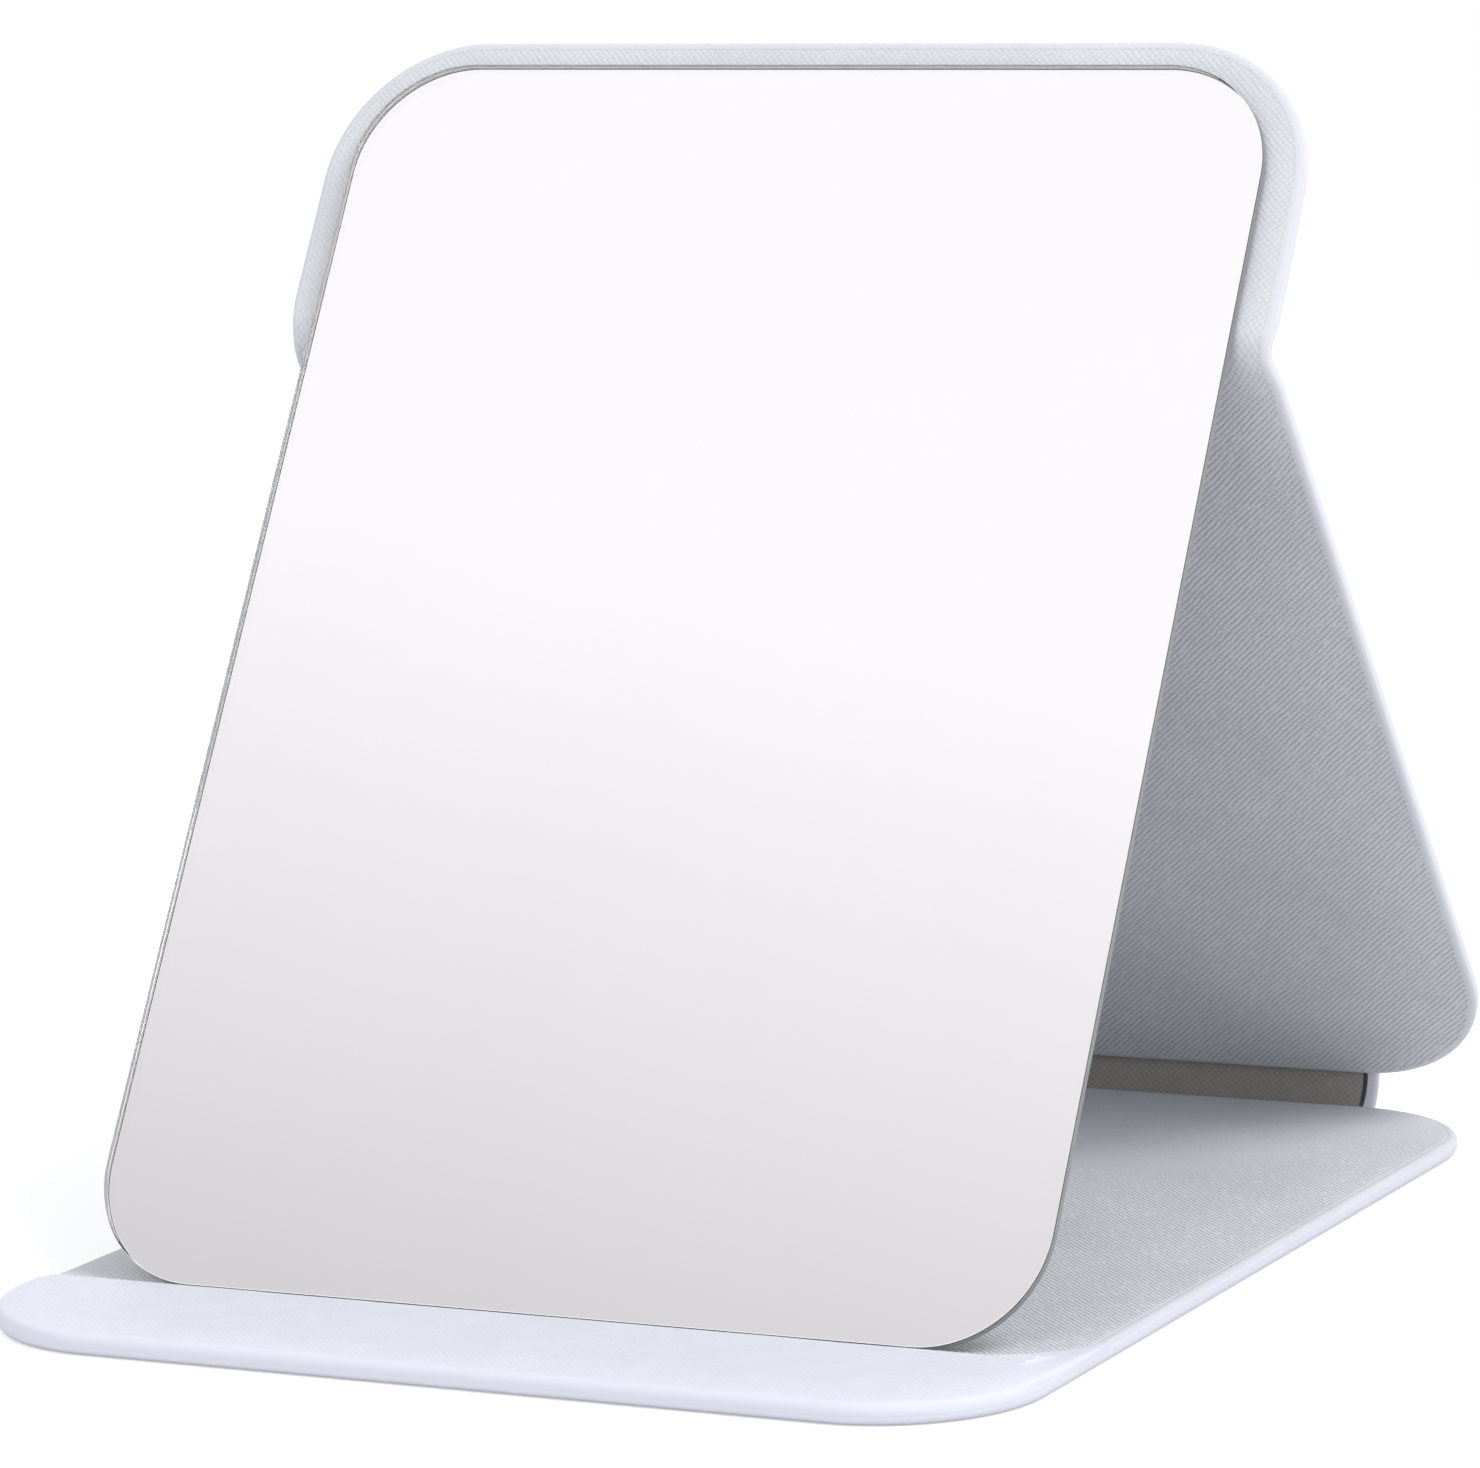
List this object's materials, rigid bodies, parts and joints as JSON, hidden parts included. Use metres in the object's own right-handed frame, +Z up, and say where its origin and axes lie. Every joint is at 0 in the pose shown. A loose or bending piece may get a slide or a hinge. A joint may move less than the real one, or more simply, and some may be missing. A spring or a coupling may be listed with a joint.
{
  "type": "folding makeup mirror",
  "caption": "Book-style leather-covered folding makeup mirror: a flat base with a front lip, a soft spine and a creased back cover that props up a frameless glass with rounded corners.",
  "frame": {"origin": "centre of the base's underside, on the table", "axes": "+X across the cover to the right as seen from the front, +Y from the lip to the spine, +Z up"},
  "size_m": [0.165, 0.2148, 0.1794],
  "materials": {
    "outer_leather": "white cross-grain",
    "lining_leather": "pale grey cross-grain",
    "grey_board": "raw",
    "foam_tape": "matte",
    "silver_coat": "silvered",
    "glass": "polished"
  },
  "bodies": {
    "base_cover": {"base_outer_cover": "outer_leather", "base_board": "grey_board", "base_lining": "lining_leather", "lip_core": "grey_board", "lip_cover": "outer_leather", "base_fold": "outer_leather"},
    "spine": {"spine_outer_cover": "outer_leather", "spine_lining": "lining_leather", "back_fold": "outer_leather"},
    "back_cover": {"back_outer_cover": "outer_leather", "back_board": "grey_board", "back_lining": "lining_leather", "crease_fold": "outer_leather"},
    "mirror_panel": {"top_outer_cover": "outer_leather", "top_board": "grey_board", "top_lining": "lining_leather", "mirror_tape_lower": "foam_tape", "mirror_tape_upper": "foam_tape", "mirror_silver_coat": "silver_coat", "mirror_glass": "glass"}
  },
  "joints": [
    {"name": "base_hinge", "type": "hinge", "parent": "base_cover", "child": "spine", "pos_m": [0, 0.1059, 0.0014], "axis": [-1, 0, 0], "range_deg": [0, 62], "deforming": ["base_fold"]},
    {"name": "back_hinge", "type": "hinge", "parent": "spine", "child": "back_cover", "pos_m": [0, 0.10909, 0.0074], "axis": [-1, 0, 0], "range_deg": [0, 65.85], "deforming": ["back_fold"]},
    {"name": "mirror_crease", "type": "hinge", "parent": "back_cover", "child": "mirror_panel", "pos_m": [0, 0.00963, 0.1354], "axis": [1, 0, 0], "range_deg": [0, 68.86], "deforming": ["crease_fold"]}
  ],
  "couplings": [
    {"joint": "mirror_crease", "follows": "back_hinge", "ratio": 1.0456}
  ]
}
